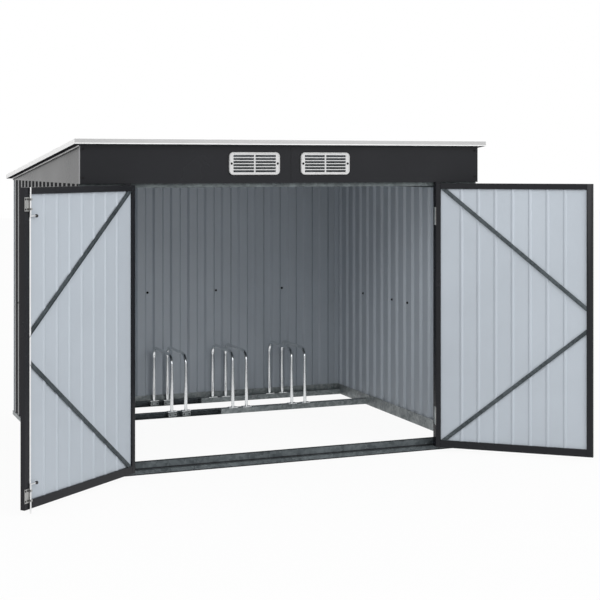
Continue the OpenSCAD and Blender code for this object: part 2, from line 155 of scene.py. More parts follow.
class ShaderTree(NodeTree):
    """A new material's node tree, with calls for its patterns and its surface."""

    MIDDLE = (0.3, 0.7)

    def __init__(self, name: str) -> None:
        """Starts an empty tree in a new material of that name."""
        self.material = bpy.data.materials.new(name)
        self.material.use_nodes = True
        super().__init__(self.material.node_tree)

    def height(self) -> Socket:
        """Adds the height above the ground and returns its socket."""
        place = self.add("ShaderNodeTexCoord")
        axes = self.add("ShaderNodeSeparateXYZ")
        self.join(place.outputs["Object"], axes.inputs["Vector"])
        return axes.outputs["Z"]

    def calc(self, operation: str, source: Socket, *values: float) -> Socket:
        """Adds a calculation with one socket and plain values.

        Args:
            operation: Blender's name of the calculation.
            source: Its first input.
            values: Its other inputs.

        Returns:
            The result's socket.
        """
        node = self.add("ShaderNodeMath", operation=operation)
        self.join(source, node.inputs[0])
        for place, value in enumerate(values, 1):
            node.inputs[place].default_value = value
        return node.outputs[0]

    def noise(self, scale: float, detail: float, stretch: Point = (1.0, 1.0, 1.0)) -> Socket:
        """Adds a noise pattern on Object coordinates.

        Args:
            scale: Cells per metre.
            detail: Octaves of finer noise.
            stretch: Factor on each axis of the coordinates.

        Returns:
            The pattern's value socket.
        """
        place = self.add("ShaderNodeTexCoord")
        mapping = self.add("ShaderNodeMapping", Scale=stretch)
        pattern = self.add("ShaderNodeTexNoise", Scale=scale, Detail=detail)
        self.join(place.outputs["Object"], mapping.inputs["Vector"])
        self.join(mapping.outputs["Vector"], pattern.inputs["Vector"])
        return pattern.outputs["Fac"]

    def ramp(self, source: Socket, low: Colour, high: Colour,
             ends: tuple[float, float] = MIDDLE) -> Socket:
        """Adds a ramp between two colours.

        Args:
            source: The value that drives it.
            low: The colour at the first end and below.
            high: The colour at the second end and above.
            ends: The values of the two colours.

        Returns:
            The ramp's colour socket.
        """
        node = self.add("ShaderNodeValToRGB")
        for element, end, colour in zip(node.color_ramp.elements, ends, (low, high)):
            element.position = end
            element.color = (*colour, 1.0)
        self.join(source, node.inputs["Fac"])
        return node.outputs["Color"]

    def span(self, source: Socket, low: float, high: float) -> Socket:
        """Maps a pattern's middle range to values from low to high."""
        start, end = self.MIDDLE
        node = self.add("ShaderNodeMapRange", From_Min=start, From_Max=end, To_Min=low, To_Max=high)
        self.join(source, node.inputs["Value"])
        return node.outputs["Result"]

    def bump(self, source: Socket, height: float) -> Socket:
        """Adds a bump of that height in metres and returns its normal socket."""
        node = self.add("ShaderNodeBump", Strength=1.0, Distance=height)
        self.join(source, node.inputs["Height"])
        return node.outputs["Normal"]

    def surface(self, links: dict[str, Socket], **values: Any) -> Socket:
        """Adds a principled shader.

        Args:
            links: The sockets that drive its inputs, by the inputs' names.
            values: Its plain values.

        Returns:
            The surface's socket.
        """
        shader = self.add("ShaderNodeBsdfPrincipled", **values)
        for name, source in links.items():
            self.join(source, shader.inputs[name])
        return shader.outputs["BSDF"]

    def finish(self, surface: Socket) -> bpy.types.Material:
        """Joins the surface to the material's output and returns the material."""
        output = self.add("ShaderNodeOutputMaterial")
        self.join(surface, output.inputs["Surface"])
        return self.material


class Finish(Protocol):
    """A finish that can add its shader to a material."""

    name: str

    def add_to(self, tree: ShaderTree) -> Socket:
        """Adds the finish's nodes and returns its surface socket."""


@dataclass(frozen=True)
class Paint:
    """Factory paint on sheet metal: an even colour with faint drifts and an orange-peel bump."""

    name: str
    colour: Colour
    drift: float
    roughness: float = 0.42
    gloss: float = 0.3
    peel: float = 0.00003
    cloud: float = 3.0
    cloud_detail: float = 4.0
    swing: float = 0.02
    grain: float = 420.0
    grain_detail: float = 2.0

    def add_to(self, tree: ShaderTree) -> Socket:
        """Adds the paint's nodes and returns its surface socket."""
        cloud = tree.noise(self.cloud, self.cloud_detail)
        dark = tuple(c * (1.0 - self.drift) for c in self.colour)
        pale = tuple(min(c * (1.0 + self.drift), 1.0) for c in self.colour)
        links = {"Base Color": tree.ramp(cloud, dark, pale),
                 "Roughness": tree.span(cloud, self.roughness - self.swing, self.roughness + self.swing),
                 "Normal": tree.bump(tree.noise(self.grain, self.grain_detail), self.peel)}
        return tree.surface(links, Metallic=0.0, Specular_IOR_Level=self.gloss)


@dataclass(frozen=True)
class Galvanised:
    """Hot-dip zinc on steel: crystal-like cells of slightly different grey, with bands of painted shade."""

    name: str
    dark: Colour
    pale: Colour
    cells: float = 70.0
    metal: float = 0.35
    roughness: float = 0.5
    shade_bands: tuple[tuple[float, float], ...] = ()
    shade_strength: float = 0.82
    shade_colour: Colour = (0.002, 0.002, 0.003)
    cell_share: float = 0.45
    cloud: float = 9.0
    cloud_detail: float = 5.0
    tone_ends: tuple[float, float] = (0.35, 1.0)
    gloss: float = 0.4
    swing: float = 0.1
    grain: float = 260.0
    grain_detail: float = 3.0
    grain_height: float = 0.00004

    def paint_shade(self, tree: ShaderTree, clean: Socket) -> Socket:
        """Darkens the colour in bands of height along folds and edges, as painted shade.

        Args:
            tree: The material's tree.
            clean: The zinc's colour before the painted shade.

        Returns:
            The shaded colour's socket.
        """
        # Painted shade: each band darkens the zinc along a fold or an edge, where shadow falls.
        height = tree.height()
        for low, high in self.shade_bands:
            band = tree.calc("COMPARE", height, (low + high) / 2, (high - low) / 2)
            dark = tree.add("ShaderNodeMixRGB", blend_type="MIX", Color2=(*self.shade_colour, 1.0))
            tree.join(tree.calc("MULTIPLY", band, self.shade_strength), dark.inputs["Fac"])
            tree.join(clean, dark.inputs["Color1"])
            clean = dark.outputs["Color"]
        return clean

    def add_to(self, tree: ShaderTree) -> Socket:
        """Adds the zinc's nodes and returns its surface socket."""
        place = tree.add("ShaderNodeTexCoord")
        cells = tree.add("ShaderNodeTexVoronoi", Scale=self.cells, Randomness=1.0)
        tree.join(place.outputs["Object"], cells.inputs["Vector"])
        tone = tree.add("ShaderNodeSeparateColor")
        tree.join(cells.outputs["Color"], tone.inputs["Color"])
        mixed = tree.add("ShaderNodeMath", operation="MULTIPLY_ADD")
        mixed.inputs[1].default_value = self.cell_share
        tree.join(tone.outputs["Red"], mixed.inputs[0])
        tree.join(tree.noise(self.cloud, self.cloud_detail), mixed.inputs[2])
        clean = tree.ramp(mixed.outputs[0], self.dark, self.pale, self.tone_ends)
        rough = tree.span(tone.outputs["Green"], self.roughness - self.swing, self.roughness + self.swing)
        grain = tree.noise(self.grain, self.grain_detail)
        links = {"Base Color": self.paint_shade(tree, clean), "Roughness": rough,
                 "Normal": tree.bump(grain, self.grain_height)}
        return tree.surface(links, Metallic=self.metal, Specular_IOR_Level=self.gloss)


@dataclass(frozen=True)
class BareMetal:
    """Plated or turned steel with fine lines."""

    name: str
    colour: Colour
    roughness: float
    lines: float = 160.0
    lines_detail: float = 4.0
    stretch: Point = (1.0, 1.0, 12.0)
    line_shade: float = 0.86
    smoother: float = 0.06
    rougher: float = 0.08

    def add_to(self, tree: ShaderTree) -> Socket:
        """Adds the metal's nodes and returns its surface socket."""
        lines = tree.noise(self.lines, self.lines_detail, self.stretch)
        dark = tuple(c * self.line_shade for c in self.colour)
        rough = tree.span(lines, self.roughness - self.smoother, self.roughness + self.rougher)
        links = {"Base Color": tree.ramp(lines, dark, self.colour), "Roughness": rough}
        return tree.surface(links, Metallic=1.0)


@dataclass(frozen=True)
class Plastic:
    """Moulded plastic with a fine grain."""

    name: str
    colour: Colour
    roughness: float = 0.38
    gloss: float = 0.5
    cloud: float = 24.0
    cloud_detail: float = 3.0
    cloud_shade: float = 0.95
    swing: float = 0.04
    grain: float = 900.0
    grain_detail: float = 2.0
    grain_height: float = 0.00002

    def add_to(self, tree: ShaderTree) -> Socket:
        """Adds the plastic's nodes and returns its surface socket."""
        cloud = tree.noise(self.cloud, self.cloud_detail)
        dark = tuple(c * self.cloud_shade for c in self.colour)
        links = {"Base Color": tree.ramp(cloud, dark, self.colour),
                 "Roughness": tree.span(cloud, self.roughness - self.swing, self.roughness + self.swing),
                 "Normal": tree.bump(tree.noise(self.grain, self.grain_detail), self.grain_height)}
        return tree.surface(links, Metallic=0.0, Specular_IOR_Level=self.gloss)


@dataclass(frozen=True)
class Parted:
    """Two finishes on one piece, parted by a level plane."""

    name: str
    above: Finish
    below: Finish
    height: float

    def add_to(self, tree: ShaderTree) -> Socket:
        """Adds both finishes, chosen by the height above the ground, and returns the surface socket."""
        lower = tree.calc("LESS_THAN", tree.height(), self.height)
        return tree.mix(lower, self.above.add_to(tree), self.below.add_to(tree))


@dataclass(frozen=True)
class TwoFaced:
    """Sheet that is painted in one colour outside and in another inside."""

    name: str
    outside: Finish
    inside: Finish
    outward: Point
    turned_away: float = -0.1

    def add_to(self, tree: ShaderTree) -> Socket:
        """Adds both paints, chosen by the way a face points, and returns the surface socket."""
        place = tree.add("ShaderNodeTexCoord")
        facing = tree.add("ShaderNodeVectorMath", operation="DOT_PRODUCT")
        facing.inputs[1].default_value = self.outward
        tree.join(place.outputs["Normal"], facing.inputs[0])
        inner = tree.calc("LESS_THAN", facing.outputs["Value"], self.turned_away)
        return tree.mix(inner, self.outside.add_to(tree), self.inside.add_to(tree))


CHARCOAL = Paint("charcoal_paint", (0.0118, 0.0124, 0.0150), drift=0.06, roughness=0.26, gloss=0.2)
BACK_COAT = Paint("back_coat", (0.46, 0.505, 0.555), drift=0.03, roughness=0.42, gloss=0.45)
ROOF_WHITE = Paint("roof_white", (0.84, 0.84, 0.84), drift=0.02, roughness=0.35)
# Painted shade: near black on the downward faces of the roof trims, for the shadow under their overhang.
UNDERSIDE_SHADE = Paint("underside", (0.040, 0.040, 0.044), drift=0.04, roughness=0.8, gloss=0.0)
TRIM_WHITE = Paint("trim_white", (0.93, 0.93, 0.93), drift=0.01, roughness=0.35)
# Painted highlight: a mid grey for the light caught on the fascia's folded left edge.
EDGE_HIGHLIGHT_GREY = Paint("edge_highlight_grey", (0.30, 0.30, 0.31), drift=0.04, roughness=0.4)
# Painted shade: a grey white for the front roof trim's face above its lip, which keeps the full white.
TRIM_WHITE_SHADED = Paint("trim_white_shaded", (0.455, 0.455, 0.455), drift=0.03, roughness=0.35)
ZINC = Galvanised("zinc", (0.048, 0.059, 0.063), (0.139, 0.161, 0.165))
# Painted shade: dark bands along the sill's step fold, its top edge and its foot.
SILL_ZINC = Galvanised("sill_zinc", (0.038, 0.047, 0.052), (0.112, 0.130, 0.138),
                       shade_bands=((-0.001, 0.005), (0.0212, 0.0275), (0.0545, 0.0595)))
# Painted light: a paler copy of the zinc for the back rail, the jamb's hinge leaves and the right part of the
# floor channels, standing in for light bounced about inside the shed.
ZINC_PAINTED_LIGHTER = Galvanised("zinc_painted_lighter", (0.13, 0.15, 0.155), (0.32, 0.35, 0.355))
# Painted light: a still paler copy of the zinc for the side rails and the foot blocks, standing in for light
# bounced off the white floor.
ZINC_PAINTED_LIGHTEST = Galvanised("zinc_painted_lightest", (0.17, 0.19, 0.197), (0.37, 0.395, 0.40))
# A darker copy of the zinc for the door braces, and painted shade on the left part of the floor channels,
# inside the open channel.
ZINC_DARK_AND_SHADED = Galvanised("zinc_dark_and_shaded", (0.028, 0.037, 0.042), (0.085, 0.102, 0.112), cells=120.0)
TUBE_STEEL = BareMetal("tube_steel", (0.80, 0.82, 0.83), 0.18)
BRIGHT_STEEL = BareMetal("bright_steel", (0.90, 0.90, 0.90), 0.34)
DULL_STEEL = BareMetal("dull_steel", (0.46, 0.46, 0.45), 0.36)
VENT_WHITE = Plastic("vent_white", (0.60, 0.60, 0.60))
# Painted highlight: a white for the light caught on the bent edge of a door skin.
SKIN_HIGHLIGHT_WHITE = Plastic("skin_highlight_white", (0.82, 0.82, 0.82), 0.5)
KNOB_BLACK = Plastic("knob_black", (0.006, 0.006, 0.007), 0.3)
SCREW_DARK = Plastic("screw_dark", (0.006, 0.006, 0.007), 0.5, 0.15)
ROOF_BACK = Paint("roof_back", (0.10, 0.11, 0.12), drift=0.05)


class Finishes:
    """Makes each finish's material once and puts it on pieces."""

    def __init__(self) -> None:
        """Starts with no materials made."""
        self.made: dict[str, bpy.types.Material] = {}

    def material(self, finish: Finish) -> bpy.types.Material:
        """Returns the finish's material, made at its first use."""
        if finish.name not in self.made:
            tree = ShaderTree(finish.name)
            self.made[finish.name] = tree.finish(finish.add_to(tree))
        return self.made[finish.name]

    def dress(self, piece: bpy.types.Object, finish: Finish) -> None:
        """Gives the whole piece one finish."""
        piece.data.materials.clear()
        piece.data.materials.append(self.material(finish))


def soften(piece: bpy.types.Object, radius_mm: float) -> None:
    """Rounds a node's sharp edges, which takes its doubled vertices together first.

    Args:
        piece: The node's object.
        radius_mm: The width of the rounding.
    """
    piece.modifiers.new("join", "WELD").merge_threshold = WELD_GAP
    bevel = piece.modifiers.new("edges", "BEVEL")
    bevel.width = radius_mm * MM
    bevel.segments = EDGE_SEGMENTS
    bevel.limit_method = "ANGLE"
    bevel.angle_limit = math.radians(EDGE_ANGLE_DEG)


def in_scene(name: str, data: bpy.types.ID) -> bpy.types.Object:
    """Makes an object at the origin from its data, and adds it to the scene."""
    thing = bpy.data.objects.new(name, data)
    bpy.context.scene.collection.objects.link(thing)
    return thing


def new_piece(name: str, corners: list[Point], faces: list[tuple[int, ...]]) -> bpy.types.Object:
    """Makes a mesh object at the origin from corners in metres."""
    mesh = bpy.data.meshes.new(name)
    mesh.from_pydata(corners, [], faces)
    return in_scene(name, mesh)


def new_box(name: str, corners: list[Vector]) -> bpy.types.Object:
    """Makes a box from its four lower corners, going round, and its four upper ones."""
    faces = [(3, 2, 1, 0), (4, 5, 6, 7), (0, 1, 5, 4), (1, 2, 6, 5), (2, 3, 7, 6), (3, 0, 4, 7)]
    return new_piece(name, [tuple(c) for c in corners], faces)


class PlacedTree(NodeTree):
    """Geometry nodes that put one shape on every point of a mesh, in one finish."""

    def __init__(self, name: str, sizes: tuple[str, ...]) -> None:
        """Builds the node group with an input for each size, a seed and a finish.

        Args:
            name: The node group's name.
            sizes: The names of the inputs that are lengths.
        """
        super().__init__(bpy.data.node_groups.new(name, "GeometryNodeTree"))
        self.sockets: dict[str, str] = {}
        kinds = {"Points": "NodeSocketGeometry", **{size: "NodeSocketFloat" for size in sizes},
                 "Seed": "NodeSocketInt", "Finish": "NodeSocketMaterial"}
        for label, kind in kinds.items():
            socket = self.tree.interface.new_socket(label, in_out="INPUT", socket_type=kind)
            self.sockets[label] = socket.identifier
        self.tree.interface.new_socket("Placed", in_out="OUTPUT", socket_type="NodeSocketGeometry")
        self.given = self.add("NodeGroupInput")
        self.join_up()

    def shape(self) -> Socket:
        """Adds the nodes of the shape and returns its geometry socket."""
        raise NotImplementedError

    def turn(self) -> Socket | None:
        """Adds each point's rotation and returns its socket, or nothing where no point is turned."""
        return None

    def join_up(self) -> None:
        """Joins the shape, the rotations and the finish into the group's output."""
        placed = self.add("GeometryNodeInstanceOnPoints")
        self.give("Points", placed.inputs["Points"])
        self.join(self.shape(), placed.inputs["Instance"])
        turned = self.turn()
        if turned:
            self.join(turned, placed.inputs["Rotation"])
        real = self.add("GeometryNodeRealizeInstances")
        self.join(placed.outputs["Instances"], real.inputs["Geometry"])
        coated = self.add("GeometryNodeSetMaterial")
        self.join(real.outputs["Geometry"], coated.inputs["Geometry"])
        self.give("Finish", coated.inputs["Material"])
        output = self.add("NodeGroupOutput")
        self.join(coated.outputs["Geometry"], output.inputs["Placed"])

    def bake(self, piece: bpy.types.Object, values: dict[str, Any]) -> None:
        """Runs the tree on a piece's points and leaves the result as its plain mesh.

        Args:
            piece: The object whose vertices are the points.
            values: The inputs by name.
        """
        nodes = piece.modifiers.new("placed", "NODES")
        nodes.node_group = self.tree
        for name, value in values.items():
            nodes[self.sockets[name]] = value
        graph = bpy.context.evaluated_depsgraph_get()
        baked = bpy.data.meshes.new_from_object(piece.evaluated_get(graph))
        piece.modifiers.clear()
        piece.data = baked

    def give(self, name: str, target: Socket) -> None:
        """Links one of the group's inputs to a socket."""
        self.join(self.given.outputs[name], target)


def piece_from(name: str, form: bmesh.types.BMesh) -> bpy.types.Object:
    """Turns a finished form into a mesh object at the origin."""
    mesh = bpy.data.meshes.new(name)
    form.to_mesh(mesh)
    form.free()
    return in_scene(name, mesh)


def add_block(form: bmesh.types.BMesh, low: Point, high: Point, material: int = 0) -> None:
    """Adds a box to a form.

    Args:
        form: The form that it joins.
        low: The lowest corner, in metres.
        high: The highest corner.
        material: The number of its material.
    """
    size = Matrix.Diagonal((*(b - a for a, b in zip(low, high)), 1.0))
    middle = Matrix.Translation([(a + b) / 2 for a, b in zip(low, high)])
    corners = bmesh.ops.create_cube(form, size=1.0, matrix=middle @ size)["verts"]
    for face in {face for corner in corners for face in corner.link_faces}:
        face.material_index = material


def top_edge(node: bpy.types.Object, reach: float = 0.002) -> tuple[Vector, Vector]:
    """Finds the front and the back end of a sloping panel's top edge.

    Args:
        node: The panel's object.
        reach: How far from an end a corner may lie.

    Returns:
        The highest corner at the front and the highest one at the back.
    """
    corners = [vertex.co for vertex in node.data.vertices]
    ends = (min(c.y for c in corners), max(c.y for c in corners))
    front, back = (max((c for c in corners if abs(c.y - end) < reach), key=lambda c: c.z) for end in ends)
    return front, back


class FixingTree(PlacedTree):
    """The heads and washers of fixings, each square to its face."""

    DIRECTION = "direction"

    def __init__(self) -> None:
        """Builds the node group."""
        super().__init__("fixings", ("Head Radius", "Head Height", "Washer Radius", "Washer Height"))

    def shape(self) -> Socket:
        """Adds a flattened dome on a round washer and returns their geometry socket."""
        dome = self.add("GeometryNodeMeshUVSphere", Segments=16, Rings=8, Radius=1.0)
        shape = self.add("ShaderNodeCombineXYZ")
        for axis, name in (("X", "Head Radius"), ("Y", "Head Radius"), ("Z", "Head Height")):
            self.give(name, shape.inputs[axis])
        scaled = self.add("GeometryNodeTransform")
        self.join(dome.outputs["Mesh"], scaled.inputs["Geometry"])
        self.join(shape.outputs["Vector"], scaled.inputs["Scale"])
        washer = self.add("GeometryNodeMeshCylinder", Vertices=20)
        self.give("Washer Radius", washer.inputs["Radius"])
        self.give("Washer Height", washer.inputs["Depth"])
        both = self.add("GeometryNodeJoinGeometry")
        self.join(scaled.outputs["Geometry"], both.inputs["Geometry"])
        self.join(washer.outputs["Mesh"], both.inputs["Geometry"])
        return both.outputs["Geometry"]

    def turn(self) -> Socket:
        """Adds each point's rotation, along its direction with a twist of its own, and returns its socket."""
        direction = self.add("GeometryNodeInputNamedAttribute", data_type="FLOAT_VECTOR")
        direction.inputs["Name"].default_value = self.DIRECTION
        align = self.add("FunctionNodeAlignRotationToVector", axis="Z")
        self.join(direction.outputs["Attribute"], align.inputs["Vector"])
        chance = self.add("FunctionNodeRandomValue", data_type="FLOAT")
        chance.inputs["Max"].default_value = math.tau
        self.give("Seed", chance.inputs["Seed"])
        twist = self.add("FunctionNodeAxisAngleToRotation")
        twist.inputs["Axis"].default_value = (0.0, 0.0, 1.0)
        self.join(chance.outputs["Value"], twist.inputs["Angle"])
        turned = self.add("FunctionNodeRotateRotation", rotation_space="LOCAL")
        self.join(align.outputs["Rotation"], turned.inputs["Rotation"])
        self.join(twist.outputs["Rotation"], turned.inputs["Rotate By"])
        return turned.outputs["Rotation"]


class BeadTree(PlacedTree):
    """Raised beads along the edge of rounded plates that face the front."""

    def __init__(self) -> None:
        """Builds the node group."""
        super().__init__("beads", ("Width", "Height", "Corner Radius", "Bead Radius"))

    def shape(self) -> Socket:
        """Adds a round bar along a rounded rectangle and returns its geometry socket."""
        outline = self.add("GeometryNodeCurvePrimitiveQuadrilateral")
        self.give("Width", outline.inputs["Width"])
        self.give("Height", outline.inputs["Height"])
        rounded = self.add("GeometryNodeFilletCurve", mode="POLY", Count=8)
        self.join(outline.outputs["Curve"], rounded.inputs["Curve"])
        self.give("Corner Radius", rounded.inputs["Radius"])
        section = self.add("GeometryNodeCurvePrimitiveCircle", Resolution=12)
        self.give("Bead Radius", section.inputs["Radius"])
        bar = self.add("GeometryNodeCurveToMesh")
        self.join(rounded.outputs["Curve"], bar.inputs["Curve"])
        self.join(section.outputs["Curve"], bar.inputs["Profile Curve"])
        upright = self.add("GeometryNodeTransform", Rotation=(QUARTER_TURN, 0.0, 0.0))
        self.join(bar.outputs["Mesh"], upright.inputs["Geometry"])
        return upright.outputs["Geometry"]


@dataclass
class Fixings:
    """Screws, nuts or bolt heads of one kind on one body, in one mesh."""

    name: str
    body: str
    finish: Finish
    slot: str
    head_mm: float = 4.0
    dome_mm: float = 2.2
    washer_mm: float = 5.5
    washer_t_mm: float = 1.6
    seed: int = 1
    places: list[Vector] = field(default_factory=list)
    directions: list[Vector] = field(default_factory=list)

    def add(self, place: Vector, direction: Vector) -> None:
        """Adds one screw whose head stands on a face.

        Args:
            place: The point on the face, in metres.
            direction: The way that the face points.
        """
        self.places.append(place)
        self.directions.append(direction)

    def build(self, tree: FixingTree, finishes: Finishes) -> None:
        """Puts a head on every point, bakes the result into a plain mesh and lets it ride on its body.

        Args:
            tree: The node group that makes the heads.
            finishes: The maker of materials.
        """
        piece = new_piece(self.name, [tuple(p) for p in self.places], [])
        pointing = piece.data.attributes.new(FixingTree.DIRECTION, "FLOAT_VECTOR", "POINT")
        for item, direction in zip(pointing.data, self.directions):
            item.vector = direction
        tree.bake(piece, {"Head Radius": self.head_mm * MM, "Head Height": self.dome_mm * MM,
                          "Washer Radius": self.washer_mm * MM, "Washer Height": 2 * self.washer_t_mm * MM,
                          "Seed": self.seed, "Finish": finishes.material(self.finish)})
        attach(piece, self.body)


@dataclass(frozen=True)
class Lamp:
    """A soft lamp at a place that faces a target, with its sides in metres."""

    name: str
    place: Point
    target: Point
    wide: float
    tall: float
    watts: float

    def hang(self) -> None:
        """Adds the lamp to the scene."""
        data = bpy.data.lights.new(self.name, "AREA")
        data.shape = "RECTANGLE"
        data.size = self.wide
        data.size_y = self.tall
        data.energy = self.watts
        lamp = in_scene(self.name, data)
        lamp.location = self.place
        aim = Vector(self.target) - Vector(self.place)
        lamp.rotation_euler = aim.to_track_quat("-Z", "Y").to_euler()


@dataclass
class Studio:
    """The pale floor, the soft light and the camera at the photograph's viewing angle."""

    eye: Point = (-2.3132, -6.0219, 1.42)
    turn_deg: float = 21.536
    focal_px: float = 1350.83
    horizon_px: float = 164.60
    sensor_mm: float = 36.0
    sky: float = 0.8
    floor_grey: float = 0.75
    floor_glow: float = 0.94
    floor_size: float = 60.0
    lamps: tuple[Lamp, ...] = (
        Lamp("key_lamp", (-4.0, -6.0, 5.0), (0.0, 0.0, 0.7), 4.0, 4.0, 150.0),
        Lamp("fill_lamp", (3.5, -6.5, 4.5), (-0.6, 0.0, 0.9), 4.0, 4.0, 190.0),
        Lamp("inner_lamp", (0.0, 0.17, 1.20), (0.3, 1.7, 0.95), 1.4, 0.10, 1.25))

    def camera(self) -> None:
        """Makes a level camera whose frame is shifted down to the object."""
        data = bpy.data.cameras.new("camera")
        data.sensor_width = self.sensor_mm
        data.lens = self.focal_px * self.sensor_mm / IMAGE_PX
        data.shift_y = (self.horizon_px - IMAGE_PX / 2) / IMAGE_PX
        camera = in_scene("camera", data)
        camera.location = self.eye
        camera.rotation_euler = (QUARTER_TURN, 0.0, -math.radians(self.turn_deg))
        bpy.context.scene.camera = camera

    def world(self) -> None:
        """Makes a plain bright sky that reads as white in the picture and in reflections."""
        world = bpy.data.worlds.new("sky")
        world.use_nodes = True
        tree = NodeTree(world.node_tree)
        light = tree.add("ShaderNodeBackground", Color=WHITE, Strength=self.sky)
        white = tree.add("ShaderNodeBackground", Color=WHITE, Strength=1.0)
        output = tree.add("ShaderNodeOutputWorld")
        tree.join(tree.mix(tree.seen(), light.outputs[0], white.outputs[0]), output.inputs["Surface"])
        bpy.context.scene.world = world

    def floor(self) -> None:
        """Makes a wide pale floor that is near white in the picture and keeps a soft shadow."""
        half = self.floor_size / 2
        corners = [(-half, -half, 0.0), (half, -half, 0.0), (half, half, 0.0), (-half, half, 0.0)]
        floor = new_piece("floor", corners, [(0, 1, 2, 3)])
        tree = ShaderTree("pale_floor")
        plain = tree.add("ShaderNodeBsdfDiffuse", Color=(self.floor_grey,) * 3 + (1.0,))
        glow = tree.add("ShaderNodeEmission", Color=WHITE, Strength=1.0)
        share = tree.calc("MULTIPLY", tree.seen(), self.floor_glow)
        floor.data.materials.append(tree.finish(tree.mix(share, plain.outputs[0], glow.outputs[0])))
        floor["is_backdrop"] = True

    def build(self) -> None:
        """Sets up the camera, the sky, the floor and the lamps."""
        bpy.context.scene.view_settings.view_transform = "Standard"
        self.camera()
        self.world()
        self.floor()
        for lamp in self.lamps:
            lamp.hang()


@dataclass
class Shell:
    """The standing shed: base frame, walls, fascia, roof and wheel hoops."""

    nodes: dict[str, bpy.types.Object]
    finishes: Finishes
    wall_x: float = 1.007
    wall_t: float = 0.002
    bolt_y: float = 0.1585
    bolt_gap: float = 0.2
    side_bolt_z: float = 0.650
    left_steps: tuple[int, ...] = (3, 4, 6, 7)
    right_steps: tuple[int, ...] = (3, 4, 6)
    back_y: float = 1.725
    back_gap: float = 0.212
    back_bolt_z: float = 0.664
    back_shift: float = -0.012
    back_steps: tuple[int, ...] = (-3, -1, 1, 3)
    vent_x: float = 0.18
    vent_corner: float = 0.02
    vent_bead: float = 0.0022
    vent_bead_in: float = 0.0005
    channel_w: float = 0.040
    channel_t: float = 0.002
    channel_joint: float = 0.093
    block_w: float = 0.047
    block_in: float = 0.0015
    block_rise: float = 0.0045
    block_screw: float = 0.015
    foot_half: float = 0.026
    left_hoops: tuple[int, ...] = (1, 2)
    lip_drop: float = 0.0005
    lip_h: float = 0.0065
    shadow_strip_h: float = 0.0055
    lip_t: float = 0.0015
    edge_w: float = 0.0035
    edge_proud: float = 0.0008
    edge_short: float = 0.006
    seam_x: tuple[float, float] = (0.0042, 0.0058)
    seam_t: float = 0.0003
    seam_short: float = 0.004
    trim_lip: float = 0.005
    rear_trim_out: Point = (0.0, 1.0, 0.6)
    fascia_screw_in: float = 0.017
    fascia_screw_z: tuple[float, ...] = (1.361, 1.490)
    vent_screw: float = 0.115
    round_mm: float = 0.6
    vent_round_mm: float = 1.2
    block_round_mm: float = 1.0

    def dress(self) -> None:
        """Puts its finish on every fixed node, and rounds the edges that show."""
        hoops = tuple(name for name in self.nodes if name.startswith("wheel_hoops"))
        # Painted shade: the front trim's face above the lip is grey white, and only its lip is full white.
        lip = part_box("front_roof_trim")[0][2] + self.trim_lip
        front = Parted("front_trim_paint", TRIM_WHITE_SHADED, ROOF_WHITE, lip)
        # Painted shade: the back and side trims' downward faces take the dark underside paint.
        rear = TwoFaced("back_trim_paint", ROOF_WHITE, UNDERSIDE_SHADE, self.rear_trim_out)
        sheet = TwoFaced("roof_paint", ROOF_WHITE, ROOF_BACK, UPWARD)
        edge = TwoFaced("side_trim_paint", TRIM_WHITE, UNDERSIDE_SHADE, UPWARD)
        # Painted light: the paler zinc copies on the back rail, the hinge leaves and the side rails brighten
        # them for light bounced inside the shed.
        coats = {
            ZINC: ("header_rail", "wall_top_rails", "roof_beam"), SILL_ZINC: ("front_sill",),
            ZINC_PAINTED_LIGHTER: ("back_base_rail", "jamb_hinge_leaves"), TUBE_STEEL: hoops,
            ZINC_PAINTED_LIGHTEST: ("left_base_rail", "right_base_rail"), BACK_COAT: ("corner_posts",),
            VENT_WHITE: ("fascia_vents",), CHARCOAL: ("door_jambs",), sheet: ("roof_sheet",),
            front: ("front_roof_trim",), rear: ("back_roof_trim",), edge: ("side_roof_trims",)}
        for finish, names in coats.items():
            for name in names:
                self.finishes.dress(self.nodes[name], finish)
        sheets = {LEFTWARD: ("left_wall", "left_gable"), RIGHTWARD: ("right_wall", "right_gable"),
                  FRONTWARD: ("front_left_panel", "front_right_panel", "front_fascia"),
                  BACKWARD: ("back_wall",)}
        for outward, names in sheets.items():
            for name in names:
                paint = TwoFaced(name + "_paint", CHARCOAL, BACK_COAT, outward)
                self.finishes.dress(self.nodes[name], paint)
        for name in ("front_sill", "front_fascia", "left_gable", "right_gable", "front_roof_trim",
                     "back_roof_trim", "side_roof_trims", "header_rail", "door_jambs"):
            soften(self.nodes[name], self.round_mm)
        soften(self.nodes["fascia_vents"], self.vent_round_mm)

    def wall_bolts(self, tree: FixingTree) -> None:
        """Puts a row of bolts through each wall, with dark nuts inside and zinc heads outside."""
        nuts = Fixings("wall_nuts", "shed", SCREW_DARK, "bright_steel",
                       head_mm=5.2, dome_mm=9.0, washer_mm=7.0)
        heads = Fixings("wall_bolt_heads", "shed", DULL_STEEL, "bright_steel",
                        head_mm=5.5, dome_mm=3.2, washer_mm=6.5, washer_t_mm=0.8, seed=6)
        bolts = [((side.value * self.wall_x, self.bolt_y + self.bolt_gap * step, self.side_bolt_z), outward)
                 for side, steps, outward in ((Side.LEFT, self.left_steps, LEFTWARD),
                                              (Side.RIGHT, self.right_steps, RIGHTWARD)) for step in steps]
        bolts += [((self.back_shift + self.back_gap * step, self.back_y, self.back_bolt_z), BACKWARD)
                  for step in self.back_steps]
        for place, outward in bolts:
            out = Vector(outward)
            nuts.add(Vector(place), -out)
            heads.add(Vector(place) + out * self.wall_t, out)
        nuts.build(tree, self.finishes)
        heads.build(tree, self.finishes)

